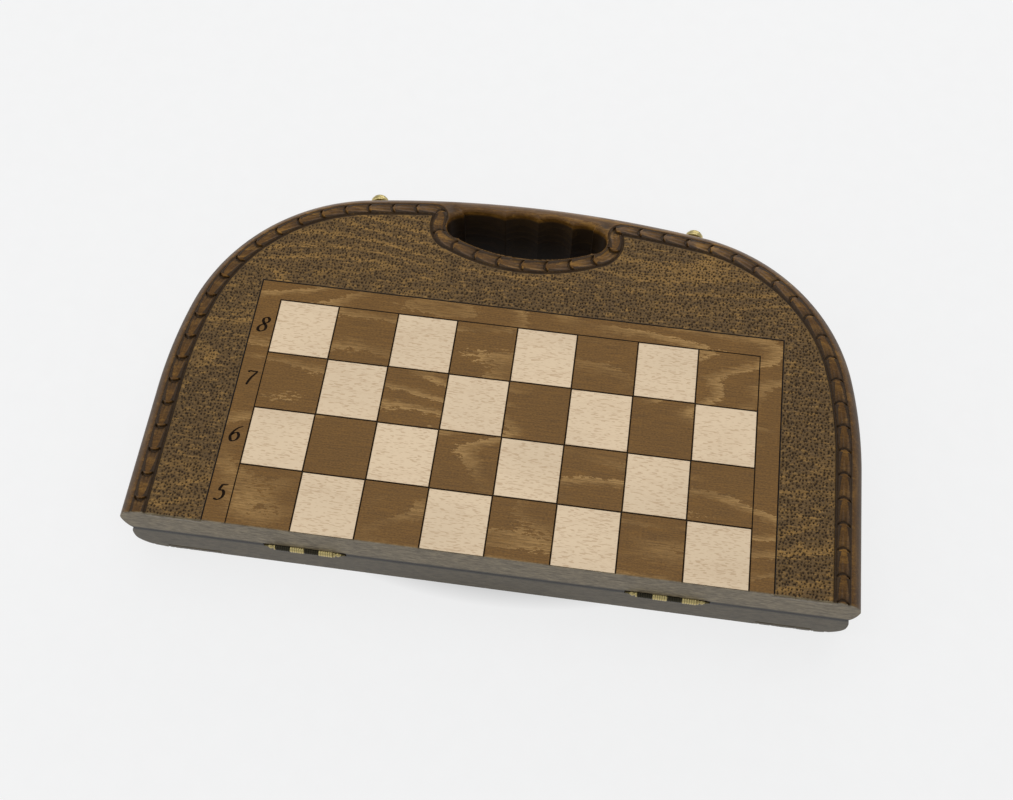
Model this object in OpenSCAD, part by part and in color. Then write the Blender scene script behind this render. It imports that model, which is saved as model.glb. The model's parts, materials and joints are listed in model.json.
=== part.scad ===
// Folding chess set: an arched wooden case whose two halves carry the board on their outer
// faces, with a carry handle cut through the arch, two hinges, two latches and the chessmen.
// Millimetres, +Z up. The origin is the centre of the face that the closed case lies on;
// +X runs along the hinges and +Y points from the hinges to the handle.

/* [Case] */
// Width of the case along its hinges
case_w = 500; // [496:1:510]
// Depth of each half from the hinged edge to the crown of the arch
case_d = 287; // [285:1:292]
// Thickness of each half
half_t = 35; // [34:1:40]
// Width of the solid rim at the parting face
rim_w = 24; // [23:1:28]
// Width of the carved border that slopes to the widest line
border_w = 20; // [16:1:22]
// Thickness of each board panel
board_t = 6; // [5:0.5:8]
// Depth of the front rail that the hinges are let into
rail_d = 16; // [15:1:18]

/* [Board] */
// Side of one square
square = 43.5; // [40:0.5:44]
// Width of the dark line between squares
line_w = 1; // [0.6:0.1:1.5]
// Depth of the light inlays
inlay_t = 1; // [0.6:0.1:2]

/* [Handle] */
// Middle of the hand hole, measured from the middle of the case
handle_x = -4; // [-8:1:8]
// Distance from the hinged edge to the lower lip of the hand hole
lip_y = 233.5; // [231:0.5:235]
// Width between the centres of the hole's round ends
hole_span = 99; // [94:1:102]

/* [Hardware] */
// Distance of each hinge from the middle of the case
hinge_x = 125; // [110:1:140]
// Radius of the hinge barrels
barrel_r = 2.5; // [2.3:0.1:2.6]
// Distance of each latch from the middle of the case
latch_x = 122; // [112:1:126]
// Height of the latch pivots above the parting plane, and of the keepers below it
latch_z = 13; // [12:0.5:15]

/* [Hidden] */
// Running gap between the two halves, and between the hinge axis and the hinged edge
parting_gap = 0.3;
hinge_gap = 0.2;
// Fitting gap around pieces that are let in
fit = 0.2;
// Radial clearance of every pin in its bore
pin_play = 0.05;
// Radial clearance of the hinge screws in the leaves' countersinks
sink_play = 0.15;
front_y = -case_d / 2;

// Plan of a half: straight side, long side curve, shoulder and crown, all tangent.
side_r = 338;
corner_r = 139;
crown_r = 840;
crown_half = 8.75;
crown_c = [0, case_d - crown_r];
corner_c = crown_c + (crown_r - corner_r) * [sin(crown_half), cos(crown_half)];
side_turn = acos((corner_c[0] - case_w / 2 + side_r) / (side_r - corner_r));
side_y = corner_c[1] - (side_r - corner_r) * sin(side_turn);
side_c = [case_w / 2 - side_r, side_y];

// Edge of a half: it is widest at crest_z above the parting plane and draws in both ways.
crest_z = 18;
parting_in = 5;
ledge_z = half_t - board_t;

// Hand hole: a long curved lip, round ends, and a far edge with finger grips.
lip_r = 123;
end_r = 11;
end_y = lip_y + 22;
far_y = lip_y + 33;
bay_w = 12.5;
hole_wall = 16;
// Finger grips in the far edge: [x of the middle, depth from the hinged edge, radius]
GRIPS = [[-39, 271, 56], [-8, 272.5, 25], [15, 272.3, 25], [39, 269, 24]];

// Hinges
knuckle_l = 10;
knuckle_gap = 0.1;
hinge_l = 4 * knuckle_l;
barrel_clear = 0.3;
hinge_pin_r = 1.2;
finial_l = 8.5;
leaf_d = 12;
leaf_t = 1.2;
leaf_screw_y = 7.5;
LEAF_SCREWS = [-14, 0, 14];
screw_r = 1.2;
screw_l = 9;
screw_head_r = 2.3;

// Latches, each on the wall's normal at latch_x
latch_turn = asin(latch_x / crown_r);
latch_y = case_d - crown_r * (1 - cos(latch_turn));
rose_r = 7;
keeper_rose_r = 5;
rose_in = 1.2;
rose_out = 0.8;
latch_pin_r = 1.8;
latch_pin_out = 5.6;
anchor_l = 11;
hook_in = 1.1;
hook_t = 2;
hook_w = 6;
hub_r = 4.4;
hook_reach = 2 * latch_z;
hook_slot_w = 5.2;
stud_r = 2;
stud_head_r = 3.6;
knob_r = 6.6;
knob_in = 3.3;
knob_out = 10.5;

// Chessmen: [kind, base radius, height]
PAWN = ["pawn", 12, 44];
ROOK = ["rook", 13, 48];
KNIGHT = ["knight", 13, 58];
BISHOP = ["bishop", 13, 64];
QUEEN = ["queen", 14, 72];
KING = ["king", 15, 80];

// The men lie in a tray, the light ones on the left. Rows are measured from the hinged edge.
tray_t = 14;
tray_gap = 1;
tray_x = 6;
men_z = 22.2;
pocket_gap = 0.7;
pawn_pitch = 27;
piece_pitch = 30;
pawn_row = 23;
piece_row = 77;
royal_row = 166;
// One side's men in the tray: [name, man, x, y, turned to lie along X]
STORE = concat(
    [for (i = [0:7]) [str("pawn_", i + 1), PAWN, tray_x + pawn_pitch * (i + 0.5), pawn_row, false]],
    [for (kind = [0:2], i = [0:1])
        let (man = [ROOK, KNIGHT, BISHOP][kind])
        [str(man[0], "_", i + 1), man, tray_x + piece_pitch * (2 * kind + i + 0.5), piece_row, false]],
    [["king", KING, tray_x + 5, royal_row, true], ["queen", QUEEN, tray_x + 93, royal_row, true]]);
SIDES = [["light", -1, "burlywood"], ["dark", 1, "saddlebrown"]];

$fn = 96;

// ---- outlines ----

function arc(c, r, from, to, n) =
    [for (i = [0:n]) let (a = from + (to - from) * i / n) [c[0] + r * cos(a), c[1] + r * sin(a)]];
function right_side(inset) = concat(
    [[case_w / 2 - inset, 0]],
    arc(side_c, side_r - inset, 0, side_turn, 4),
    arc(corner_c, corner_r - inset, side_turn, 90 - crown_half, 15),
    arc(crown_c, crown_r - inset, 90 - crown_half, 90, 3));
function reversed(points) = [for (i = [len(points) - 1:-1:0]) points[i]];

module plan(inset, from_y = 0) {
    right = right_side(inset);
    left = [for (p = reversed(right)) [-p[0], p[1]]];
    intersection() {
        polygon(concat(right, left));
        translate([-case_w, from_y]) square([2 * case_w, 2 * case_d]);
    }
}

// The hand hole's outline, grown outwards
module hole_plan(grow = 0) {
    translate([handle_x, 0]) {
        intersection() {
            translate([0, lip_y + lip_r]) circle(r = lip_r + grow, $fn = 200);
            translate([-hole_span / 2, lip_y - grow]) square([hole_span, far_y - lip_y + 2 * grow]);
        }
        for (s = [-1, 1]) translate([s * hole_span / 2, end_y]) circle(r = end_r + grow);
    }
}

module grips_plan() {
    intersection() {
        for (g = GRIPS) translate([g[0], g[1] - g[2]]) circle(r = g[2]);
        translate([handle_x - hole_span / 2, end_y]) square([hole_span, case_d - end_y]);
    }
}

// The panel's recess: all inside the carved border, less the bay round the hand hole
module panel_plan(gap) {
    difference() {
        plan(border_w + gap);
        hole_plan(bay_w + gap);
    }
}

// The hollow of a half, less the wall round the hand hole
module cavity_plan(gap) {
    difference() {
        plan(rim_w + gap, rail_d + gap);
        hole_plan(hole_wall + gap);
    }
}

// ---- frames ----

function quarter(from, inset, rise, first, n) =
    [for (i = [first:n]) let (a = from + 90 * i / n) [inset * (1 - cos(a)), crest_z + rise * sin(a)]];

// Edge of a half: [distance in from the widest line, height above the parting plane]
EDGE = concat(
    quarter(-90, parting_in, crest_z - parting_gap / 2, 0, 5),
    quarter(0, border_w, half_t - crest_z, 1, 8));
plate_t = 0.01;

// The outside of a half as one solid. Its plan is convex at every height.
module outer_form() {
    hull() for (p = EDGE)
        translate([0, 0, min(p[1], half_t - plate_t)]) linear_extrude(plate_t) plan(p[0]);
}

module hinge_axis(x) {
    translate([x, -hinge_gap, 0]) rotate([0, 90, 0]) children();
}

// Places its children at a latch, +Y out of the wall; side is -1 on the left and 1 on the right
module at_latch(side, z) {
    translate([side * latch_x, latch_y, z]) rotate([0, 0, -side * latch_turn]) children();
}

// A cylinder that starts at y and runs outwards
module out_rod(r, y, l) {
    translate([0, y, 0]) rotate([-90, 0, 0]) cylinder(r = r, h = l);
}

module hinge_mortises() {
    for (s = [-1, 1]) {
        hinge_axis(s * hinge_x) cylinder(r = barrel_r + barrel_clear, h = hinge_l + 2 * finial_l + 1,
            center = true);
        translate([s * hinge_x - hinge_l / 2 - fit, -1, -1])
            cube([hinge_l + 2 * fit, leaf_d + 1 + fit, 1 + parting_gap / 2 + leaf_t + 0.05]);
        for (x = LEAF_SCREWS) translate([s * hinge_x + x, leaf_screw_y, 0])
            cylinder(r = screw_r + pin_play, h = screw_l + 2);
    }
}

// One half's frame with its parting plane at z = 0 and its outer face up
module frame(hardware_rose_r) {
    difference() {
        outer_form();
        translate([0, 0, -1]) linear_extrude(ledge_z + 1) cavity_plan(0);
        translate([0, 0, ledge_z]) linear_extrude(board_t + 1) panel_plan(0);
        translate([0, 0, -1]) linear_extrude(half_t + 2) {
            hole_plan();
            grips_plan();
        }
        hinge_mortises();
        for (s = [-1, 1]) at_latch(s, latch_z) {
            out_rod(hardware_rose_r + fit, -rose_in, 10);
            out_rod(latch_pin_r + pin_play, -anchor_l - 1, anchor_l);
        }
    }
}

// ---- board ----

// Squares are counted from the left and from the hinged edge. Across the fold the colours alternate.
module light_squares(odd, shrink, t) {
    for (col = [0:7], row = [0:3])
        if ((col + row) % 2 == odd)
            translate([(col - 4) * square + shrink, row * square + shrink, half_t - inlay_t])
                cube([square - 2 * shrink, square - 2 * shrink, t]);
}

module board(odd) {
    difference() {
        translate([0, 0, ledge_z]) linear_extrude(board_t) panel_plan(fit);
        light_squares(odd, line_w / 2, inlay_t + 1);
    }
}

// ---- linings ----

module tray() {
    difference() {
        translate([0, 0, board_t]) linear_extrude(tray_t) translate([0, front_y]) cavity_plan(tray_gap);
        for (side = SIDES, m = STORE) stored(m, side[1]) translate([0, 0, -pocket_gap])
            cylinder(r = m[1][1] + pocket_gap, h = m[1][2] + 2 * pocket_gap, $fn = 64);
    }
}

// ---- hinges ----

// A leaf with its plate above the parting plane; first is its first knuckle, 0 or 1
module leaf(first) {
    difference() {
        union() {
            translate([-hinge_l / 2, 0, parting_gap / 2]) cube([hinge_l, leaf_d, leaf_t]);
            knuckles(first, barrel_r, knuckle_gap);
        }
        knuckles(1 - first, barrel_r + barrel_clear, -knuckle_gap);
        hinge_axis(0) cylinder(r = hinge_pin_r + pin_play, h = hinge_l + 2, center = true);
        for (x = LEAF_SCREWS) translate([x, leaf_screw_y, parting_gap / 2]) {
            translate([0, 0, -1]) cylinder(r = screw_r + sink_play, h = 4);
            cylinder(r1 = screw_head_r + sink_play, r2 = screw_r + sink_play, h = leaf_t - fit);
        }
    }
}

module knuckles(first, r, gap) {
    for (i = [first:2:3])
        hinge_axis(-hinge_l / 2 + i * knuckle_l + gap) cylinder(r = r, h = knuckle_l - 2 * gap);
}

// Pin with a ring, a ball and a tip at each end
module hinge_pin() {
    start = hinge_l / 2 + knuckle_gap;
    ring_r = barrel_r - 0.2;
    half = concat(
        [[hinge_pin_r, start], [ring_r, start], [ring_r, start + 1], [hinge_pin_r, start + 1.3]],
        arc([0, start + 3.1], 1.9, -50, 60, 6), [[0.6, start + 5], [0, start + finial_l - knuckle_gap]]);
    hinge_axis(0) rotate_extrude()
        polygon(concat([for (p = reversed(half)) [p[0], -p[1]]], half));
}

module leaf_screws() {
    for (s = [-1, 1], x = LEAF_SCREWS)
        translate([s * hinge_x + x, leaf_screw_y, parting_gap / 2]) {
            cylinder(r1 = screw_head_r, r2 = screw_r, h = leaf_t - fit);
            cylinder(r = screw_r, h = screw_l);
        }
}

// ---- latches ----

// Pivot post: a rose let into the wall, with its anchor and the pin that the hook turns on
module latch_post() {
    out_rod(rose_r, -rose_in, rose_in + rose_out);
    out_rod(latch_pin_r, -anchor_l, anchor_l + latch_pin_out);
}

// Hook, lying along -X from its hub, with the slot that takes the keeper open below
module hook() {
    difference() {
        union() {
            out_rod(hub_r, hook_in, hook_t);
            translate([-hook_reach, hook_in, -hook_w / 2]) cube([hook_reach, hook_t, hook_w]);
            translate([-hook_reach, 0, 0]) out_rod(hub_r, hook_in, hook_t);
        }
        out_rod(latch_pin_r + pin_play, 0, 10);
        translate([-hook_reach, 0, 0]) out_rod(hook_slot_w / 2, 0, 10);
        translate([-hook_reach - hook_slot_w / 2, 0, -10]) cube([hook_slot_w, 10, 10]);
    }
}

module knob() {
    rim_out = knob_out - 3;
    difference() {
        union() {
            out_rod(3, hook_in + hook_t, knob_in - hook_in - hook_t + 0.5);
            out_rod(knob_r, knob_in, rim_out - knob_in);
            dome_r = (knob_r * knob_r + 9) / 6;
            intersection() {
                translate([0, knob_out - dome_r, 0]) sphere(r = dome_r);
                out_rod(knob_r, knob_in, 10);
            }
        }
        out_rod(latch_pin_r + pin_play, 0, latch_pin_out + fit);
    }
}

module keeper() {
    out_rod(keeper_rose_r, -rose_in, rose_in + rose_out);
    out_rod(latch_pin_r, -anchor_l, anchor_l);
    out_rod(stud_r, 0, 3.6);
    out_rod(stud_head_r, 3.5, 1.3);
}

// ---- chessmen ----

function stem(r0, z0, r1, z1) =
    [for (i = [0:5]) let (t = i / 5) [r1 + (r0 - r1) * pow(1 - t, 2.2), z0 + (z1 - z0) * t]];
function foot(r) = [[0, 0], [r, 0], [r, 2.5], [r - 0.8, 4], [r - 1, 5], [r - 3.2, 6]];
// Foot, waisted stem and collar, ending on the axis side of the collar at height top
function turned(r, neck, top) = concat(
    foot(r), stem(r - 3.4, 6.4, neck, top - 3.2),
    [[neck + 2.8, top - 2.6], [neck + 2.8, top - 1.4], [neck, top]]);

module spun(points) {
    rotate_extrude($fn = 64) polygon(points);
}

module pawn() {
    spun(concat(turned(12, 4, 29), arc([0, 37], 7, -60, 90, 9)));
}

module rook() {
    difference() {
        spun(concat(turned(13, 6.4, 34),
            [[7, 37], [9.8, 39.5], [9.8, 48], [6.6, 48], [6.6, 44], [0, 44]]));
        for (a = [0:60:120]) rotate([0, 0, a]) translate([-12, -1.6, 44.5]) cube([24, 3.2, 5]);
    }
}

module bishop() {
    difference() {
        spun(concat(turned(13, 4.6, 42),
            [for (a = [-55:13:75]) [7.2 * cos(a), 51.5 + 9 * sin(a)]], arc([0, 62], 2, -50, 90, 5)));
        translate([3.5, -8, 53]) rotate([0, 35, 0]) cube([1.4, 16, 10]);
    }
}

module queen() {
    difference() {
        spun(concat(turned(14, 5, 46), [[5, 48], [9.4, 62], [7.4, 63.4]],
            arc([0, 61.5], 6.4, 20, 62, 4), arc([0, 69.3], 2.7, -40, 90, 6)));
        for (a = [0:45:315]) rotate([0, 0, a]) translate([10.4, 0, 64]) sphere(r = 2.4, $fn = 24);
    }
}

module king() {
    spun(concat(turned(15, 5.4, 50), [[5.4, 52], [9.8, 65], [8.6, 67]],
        arc([0, 63.5], 7.6, 30, 70, 4), [[1.6, 71.5], [0, 71.5]]));
    translate([0, 1.5, 0]) rotate([90, 0, 0]) linear_extrude(3) {
        translate([-1.5, 70]) square([3, 10]);
        translate([-4.2, 73.6]) square([8.4, 3]);
    }
}

// A plain horse's head on a turned foot: neck, mane, ear, brow, nose, chin and throat
module knight() {
    spun(concat(foot(13), stem(9.6, 6.4, 8.6, 14), [[10, 14.8], [10, 16.4], [0, 16.4]]));
    translate([0, 4.5, 0]) rotate([90, 0, 0]) linear_extrude(9) polygon([
        [-7.5, 16], [-9.5, 25], [-9.6, 36], [-6.8, 46], [-2, 53], [-0.6, 58], [2, 53.6],
        [5.4, 50.4], [8.6, 43], [12, 37.4], [11.4, 33.8], [8, 32.6], [4.4, 35.6], [1.4, 36],
        [3.6, 31], [7, 25], [8, 16]]);
}

module man(kind) {
    if (kind == "pawn") pawn();
    else if (kind == "rook") rook();
    else if (kind == "knight") knight();
    else if (kind == "bishop") bishop();
    else if (kind == "queen") queen();
    else king();
}

// Places its children where one man lies in the tray
module stored(m, side) {
    translate([side * m[2], front_y + m[3], men_z])
        rotate(m[4] ? [0, side * 90, 0] : [-90, 0, 0]) children();
}

// ---- places ----

module upper() {
    translate([0, front_y, half_t]) children();
}

module lower() {
    upper() mirror([0, 0, 1]) children();
}

module lower_frame() { color("saddlebrown") lower() frame(keeper_rose_r); }
module upper_frame() { color("saddlebrown") upper() frame(rose_r); }
module lower_board() { color("sienna") lower() board(0); }
module upper_board() { color("sienna") upper() board(1); }
module lower_light_squares() { color("wheat") lower() light_squares(0, line_w / 2, inlay_t); }
module upper_light_squares() { color("wheat") upper() light_squares(1, line_w / 2, inlay_t); }
module lower_tray() { color("darkgreen") tray(); }
module upper_lining() {
    color("darkgreen") upper() translate([0, 0, ledge_z - 1]) linear_extrude(1) cavity_plan(tray_gap);
}
module lower_leaf(s) { color("darkkhaki") lower() translate([s * hinge_x, 0, 0]) leaf(0); }
module upper_leaf(s) { color("darkkhaki") upper() translate([s * hinge_x, 0, 0]) leaf(1); }
module placed_pin(s) { color("darkkhaki") upper() translate([s * hinge_x, 0, 0]) hinge_pin(); }
module lower_hinge_screws() { color("darkkhaki") lower() leaf_screws(); }
module upper_hinge_screws() { color("darkkhaki") upper() leaf_screws(); }
module placed_post(s) { color("darkkhaki") upper() at_latch(s, latch_z) latch_post(); }
module placed_hook(s) {
    color("darkkhaki") upper() at_latch(s, latch_z) mirror([s < 0 ? 1 : 0, 0, 0]) hook();
}
module placed_knob(s) { color("darkkhaki") upper() at_latch(s, latch_z) knob(); }
module placed_keeper(s) { color("darkkhaki") upper() at_latch(s, -latch_z) keeper(); }

lower_frame();
upper_frame();
lower_board();
upper_board();
lower_light_squares();
upper_light_squares();
lower_tray();
upper_lining();
lower_leaf(-1);  // left_lower_leaf
lower_leaf(1);  // right_lower_leaf
upper_leaf(-1);  // left_upper_leaf
upper_leaf(1);  // right_upper_leaf
placed_pin(-1);  // left_hinge_pin
placed_pin(1);  // right_hinge_pin
lower_hinge_screws();
upper_hinge_screws();
placed_post(-1);  // left_latch_post
placed_post(1);  // right_latch_post
placed_hook(-1);  // left_hook
placed_hook(1);  // right_hook
placed_knob(-1);  // left_knob
placed_knob(1);  // right_knob
placed_keeper(-1);  // left_keeper
placed_keeper(1);  // right_keeper
for (side = SIDES, m = STORE)
    color(side[2]) stored(m, side[1]) man(m[1][0]);
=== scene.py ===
import json
import math

import bmesh
import bpy
import numpy as np
from mathutils import Matrix, Vector

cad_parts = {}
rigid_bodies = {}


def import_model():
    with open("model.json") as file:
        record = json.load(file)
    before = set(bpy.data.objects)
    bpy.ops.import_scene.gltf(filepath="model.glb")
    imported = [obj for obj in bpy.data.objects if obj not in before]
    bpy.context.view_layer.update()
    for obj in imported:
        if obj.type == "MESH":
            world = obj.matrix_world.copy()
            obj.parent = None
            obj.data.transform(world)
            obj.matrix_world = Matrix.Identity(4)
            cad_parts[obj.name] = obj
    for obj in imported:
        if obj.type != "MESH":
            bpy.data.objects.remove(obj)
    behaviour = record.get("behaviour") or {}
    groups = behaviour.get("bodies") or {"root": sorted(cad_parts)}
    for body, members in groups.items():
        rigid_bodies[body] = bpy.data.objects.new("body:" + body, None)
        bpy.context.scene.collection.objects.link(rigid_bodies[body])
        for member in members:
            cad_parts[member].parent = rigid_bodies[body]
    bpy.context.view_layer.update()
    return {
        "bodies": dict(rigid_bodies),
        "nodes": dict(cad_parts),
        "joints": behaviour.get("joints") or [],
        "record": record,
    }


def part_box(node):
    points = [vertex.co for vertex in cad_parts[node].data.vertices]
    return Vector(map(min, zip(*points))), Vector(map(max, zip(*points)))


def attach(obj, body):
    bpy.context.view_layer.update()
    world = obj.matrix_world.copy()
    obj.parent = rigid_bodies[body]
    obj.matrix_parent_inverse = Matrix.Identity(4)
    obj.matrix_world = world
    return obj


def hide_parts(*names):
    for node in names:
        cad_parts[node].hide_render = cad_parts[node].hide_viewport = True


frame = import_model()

MM = 0.001

# ---- sizes in mm: x from the middle, y from the hinged edge, z from the parting plane ----

frame_lo, frame_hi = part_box("upper_frame")
CASE_W = (frame_hi.x - frame_lo.x) / MM
CASE_D = (frame_hi.y - frame_lo.y) / MM
FRONT = frame_lo.y / MM
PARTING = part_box("lower_frame")[1].z / MM + 0.15
HALF_T = frame_hi.z / MM - PARTING
GAP = 0.15
BOARD_T = (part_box("upper_board")[1].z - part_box("upper_board")[0].z) / MM
SQUARE = 43.5
LINE = 1.0
BAND_X, BAND_Y = 190.3, 189.0
PANEL_BACK = HALF_T - BOARD_T

SIDE_R, CORNER_R, CROWN_R, CROWN_HALF = 338.0, 139.0, 840.0, 8.75
CREST_Z, PARTING_IN, BORDER_W = 18.0, 5.0, 20.0
CROWN_C = np.array([0.0, CASE_D - CROWN_R])
CORNER_C = CROWN_C + (CROWN_R - CORNER_R) * np.array(
    [math.sin(math.radians(CROWN_HALF)), math.cos(math.radians(CROWN_HALF))])
SIDE_TURN = math.degrees(math.acos((CORNER_C[0] - CASE_W / 2 + SIDE_R) / (SIDE_R - CORNER_R)))
SIDE_C = np.array([CASE_W / 2 - SIDE_R,
                   CORNER_C[1] - (SIDE_R - CORNER_R) * math.sin(math.radians(SIDE_TURN))])

HOLE_X, LIP_Y, LIP_R, END_R, HOLE_SPAN = -4.0, 233.5, 123.0, 11.0, 99.0
LIP_C = np.array([HOLE_X, LIP_Y + LIP_R])
END_Y, FAR_Y = LIP_Y + 22, LIP_Y + 33
ENDS = [np.array([HOLE_X + s * HOLE_SPAN / 2, END_Y]) for s in (-1, 1)]
GRIPS = [(-39, 271, 56), (-8, 272.5, 25), (15, 272.3, 25), (39, 269, 24)]

# The carved cells run along one path: up the left side, round the bay and down the right side
CELL_IN = 15.0      # distance of the path from the widest line
CELL_HOLE = 6.4     # distance of the path from the hand hole
CELL_HALF = 4.6
CELL_PITCH = 18.0
TURN_R = 7.0        # radius of the two turns into the bay
GROOVE_V = -5.9     # the groove that parts the border from the punched ground
WALL_IN = 6.0       # where the top surface hands over to the wall
SHADE_Y, SHADE_RUN = 262.0, 30.0    # the painted shade by the outer wall fades out over this run, up to this y
STEP = 0.5


# ---- plan geometry ----

def inset(x, y):
    """Distance in from the widest line of the case."""
    ax = np.abs(x)
    side = CASE_W / 2 - ax
    at_side = np.degrees(np.arctan2(y - SIDE_C[1], ax - SIDE_C[0]))
    at_corner = np.degrees(np.arctan2(y - CORNER_C[1], ax - CORNER_C[0]))
    out = np.where(
        at_side < SIDE_TURN, SIDE_R - np.hypot(ax - SIDE_C[0], y - SIDE_C[1]),
        np.where(at_corner < 90 - CROWN_HALF, CORNER_R - np.hypot(ax - CORNER_C[0], y - CORNER_C[1]),
                 CROWN_R - np.hypot(ax - CROWN_C[0], y - CROWN_C[1])))
    return np.where(y < SIDE_C[1], side, out)


def from_hole(x, y):
    """Distance outside the hand hole, negative inside it."""
    dx = x - HOLE_X
    lip = np.maximum(np.hypot(x - LIP_C[0], y - LIP_C[1]) - LIP_R,
                     np.maximum(np.abs(dx) - HOLE_SPAN / 2, y - FAR_Y))
    out = lip
    for end in ENDS:
        out = np.minimum(out, np.hypot(x - end[0], y - end[1]) - END_R)
    for gx, gy, gr in GRIPS:
        grip = np.maximum(np.hypot(x - gx, y - gy + gr) - gr, END_Y - y)
        out = np.minimum(out, np.maximum(grip, np.abs(dx) - HOLE_SPAN / 2))
    return out


def meeting(c1, r1, c2, r2, side):
    """One of the two points at r1 from c1 and r2 from c2."""
    d = np.linalg.norm(c2 - c1)
    a = (r1 * r1 - r2 * r2 + d * d) / (2 * d)
    h = math.sqrt(r1 * r1 - a * a)
    u = (c2 - c1) / d
    return c1 + a * u + side * h * np.array([-u[1], u[0]])


def heading(v):
    return math.degrees(math.atan2(v[1], v[0])) % 360


def arc_points(c, r, start, end):
    n = max(2, int(abs(end - start) * math.pi / 180 * r / 0.8))
    a = np.radians(np.linspace(start, end, n + 1))
    return np.stack([c[0] + r * np.cos(a), c[1] + r * np.sin(a)], 1)


def border_path():
    """The path's points, from the left front corner to the right one."""
    flip = np.array([-1, 1])
    crown = CROWN_R - CELL_IN
    round_end = END_R + CELL_HOLE
    turns = [meeting(CROWN_C, crown - TURN_R, ENDS[i], round_end + TURN_R, 1 - 2 * i) for i in (0, 1)]
    x = CASE_W / 2 - CELL_IN
    left, right = turns
    return np.concatenate([
        [[-x, -6]], arc_points(SIDE_C * flip, SIDE_R - CELL_IN, 180, 180 - SIDE_TURN),
        arc_points(CORNER_C * flip, CORNER_R - CELL_IN, 180 - SIDE_TURN, 90 + CROWN_HALF),
        arc_points(CROWN_C, crown, 90 + CROWN_HALF, heading(left - CROWN_C)),
        arc_points(left, TURN_R, heading(left - CROWN_C), heading(ENDS[0] - left) - 360),
        arc_points(ENDS[0], round_end, heading(left - ENDS[0]), heading(ENDS[0] - LIP_C)),
        arc_points(LIP_C, LIP_R + CELL_HOLE, heading(ENDS[0] - LIP_C), heading(ENDS[1] - LIP_C)),
        arc_points(ENDS[1], round_end, heading(ENDS[1] - LIP_C), heading(right - ENDS[1]) + 360),
        arc_points(right, TURN_R, heading(ENDS[1] - right), heading(right - CROWN_C)),
        arc_points(CROWN_C, crown, heading(right - CROWN_C), 90 - CROWN_HALF),
        arc_points(CORNER_C, CORNER_R - CELL_IN, 90 - CROWN_HALF, SIDE_TURN),
        arc_points(SIDE_C, SIDE_R - CELL_IN, SIDE_TURN, 0), [[x, -6]]])


def resample(path, step):
    s = np.concatenate([[0], np.cumsum(np.linalg.norm(np.diff(path, axis=0), axis=1))])
    t = np.linspace(0, s[-1], int(s[-1] / step) + 1)
    return np.stack([np.interp(t, s, path[:, 0]), np.interp(t, s, path[:, 1])], 1), t


PATH, PATH_S = resample(border_path(), 1.0)
PATH_T = np.gradient(PATH, axis=0)
PATH_T /= np.linalg.norm(PATH_T, axis=1)[:, None]


def along(x, y):
    """(distance run along the path, distance to its left) of each point near it."""
    q = np.stack([np.ravel(x), np.ravel(y)], 1)
    s = np.zeros(len(q))
    v = np.full(len(q), -60.0)
    near = np.nonzero((inset(q[:, 0], q[:, 1]) < 26) | (from_hole(q[:, 0], q[:, 1]) < 26))[0]
    for part in np.array_split(near, max(1, len(near) // 4000)):
        d = ((q[part, None, :] - PATH[None]) ** 2).sum(2)
        i = d.argmin(1)
        off = q[part] - PATH[i]
        t = PATH_T[i]
        run = (off * t).sum(1)
        left = t[:, 0] * off[:, 1] - t[:, 1] * off[:, 0]
        far = np.hypot(off[:, 0], off[:, 1])
        s[part] = PATH_S[i] + run
        v[part] = np.where(np.abs(run) > 1.2, np.sign(left) * far, left)
    return s.reshape(np.shape(x)), v.reshape(np.shape(x))


# ---- the carved surface ----

def ripple(x, y, size, seed, waves=14):
    """A smooth random field between about -1 and 1."""
    r = np.random.default_rng(seed)
    out = np.zeros(np.shape(x))
    for _ in range(waves):
        a, k, p = r.uniform(0, math.tau), r.uniform(0.6, 1.4) * math.tau / size, r.uniform(0, math.tau)
        out += np.sin(k * (x * math.cos(a) + y * math.sin(a)) + p)
    return out / math.sqrt(waves)


def bump(v, middle, width):
    return np.exp(-((v - middle) / width) ** 2)


def cells(s, v):
    """(depth, darkness) of the gouged cells along the border; the darkness is painted shade, with painted
    highlight streaks.
    """
    a = v / CELL_HALF
    u = (s / CELL_PITCH) % 1.0
    lip = 1 - 0.16 * (1 - a * a)
    q = np.clip(u / lip, 0, 1)
    inside = (np.abs(a) < 1) & (u < lip)
    width = 0.34 + 0.62 * q ** 0.6
    bowl = np.clip(1 - (a / width) ** 2, 0, 1)
    ridge = 1 - 0.45 * bump(a, 0.0, 0.2)
    # the darkness is less along three painted highlight streaks down each gouge
    streak = bump(a, 0.0, 0.2) + bump(a, 0.55, 0.12) + bump(a, -0.55, 0.12)
    depth = np.where(inside, 1.7 * q ** 1.1 * bowl ** 0.7 * ridge, 0)
    # painted shade, deepening down each gouge towards its lip
    dark = np.where(inside, (0.12 + 0.7 * q ** 2.4) * (1 - 0.5 * streak), 0)
    # painted shade along the gouge's steep sides
    dark = np.where((np.abs(a) < 1) & (bowl < 0.12), 0.85, dark)
    # painted shadow in the gap under each cell's lip
    lip_gap = (np.abs(a) < 0.95) & (np.abs(u - lip) < 0.05)
    depth = np.where(lip_gap, 1.9, depth)
    dark = np.where(lip_gap, 1.0, dark)
    # painted shade in the fine grooves along both edges of the band
    for edge in (-1, 1):
        rim = bump(v, edge * (CELL_HALF + 0.5), 0.5)
        depth = depth + 0.9 * rim
        dark = dark + 0.9 * rim
    return depth, dark


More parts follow.
